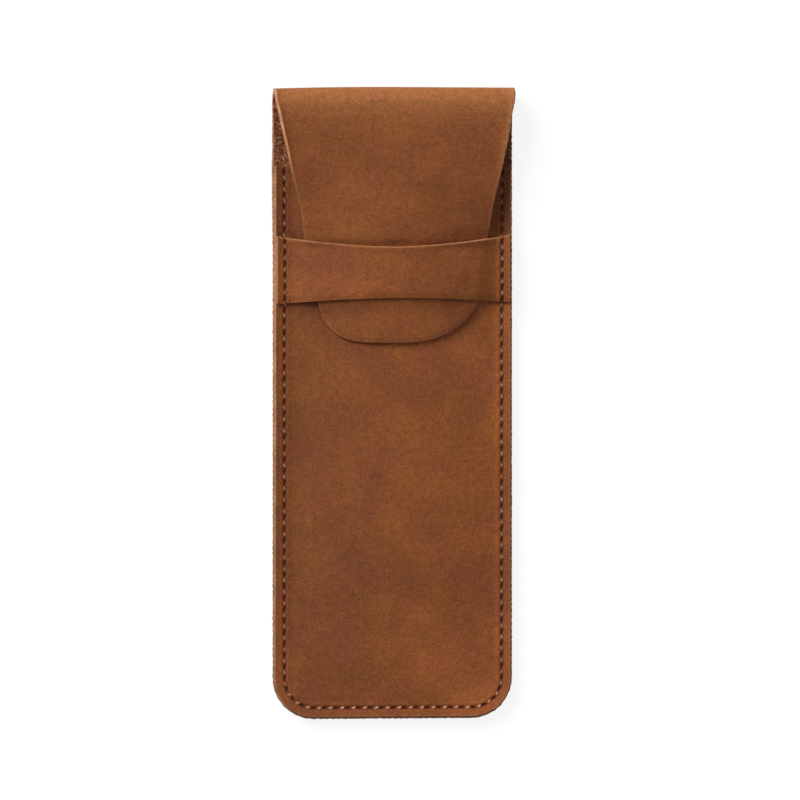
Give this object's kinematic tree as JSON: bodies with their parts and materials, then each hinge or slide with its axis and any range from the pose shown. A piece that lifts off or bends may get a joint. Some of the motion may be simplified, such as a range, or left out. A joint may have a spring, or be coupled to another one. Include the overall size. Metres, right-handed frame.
{
  "type": "pencil case",
  "caption": "Slim leather pencil case with a domed front pocket, a fold-over flap whose rounded tongue tucks under a sewn strap, and a stitched seam along its sides and bottom.",
  "frame": {"origin": "on the table under the middle of the case, which lies on its back", "axes": "+Y along the case towards the fold of the flap, +Z out of the front, +X to the right seen from the front"},
  "size_m": [0.06, 0.16, 0.0119],
  "materials": {
    "back_leather": "matte oiled nubuck with a raw flesh side",
    "front_leather": "matte oiled nubuck",
    "flap_leather": "matte oiled nubuck with a raw flesh side",
    "fold_leather": "matte oiled nubuck, paler where it bends",
    "strap_leather": "matte oiled nubuck with pale cut edges",
    "needle_thread": "matte twisted sewing thread",
    "bobbin_thread": "matte twisted sewing thread"
  },
  "bodies": {
    "case": {"back_panel": "back_leather", "front_panel": "front_leather", "strap": "strap_leather", "needle_thread": "needle_thread", "bobbin_thread": "bobbin_thread"},
    "fold": {"flap_fold": "fold_leather"},
    "flap": {"flap": "flap_leather"}
  },
  "joints": [
    {"name": "lower_bend", "type": "hinge", "parent": "case", "child": "fold", "pos_m": [0, 0.07878, 0.00122], "axis": [-1, 0, 0], "range_deg": [0, 86]},
    {"name": "upper_bend", "type": "hinge", "parent": "fold", "child": "flap", "pos_m": [0, 0.07878, 0.00708], "axis": [-1, 0, 0], "range_deg": [0, 86]}
  ]
}
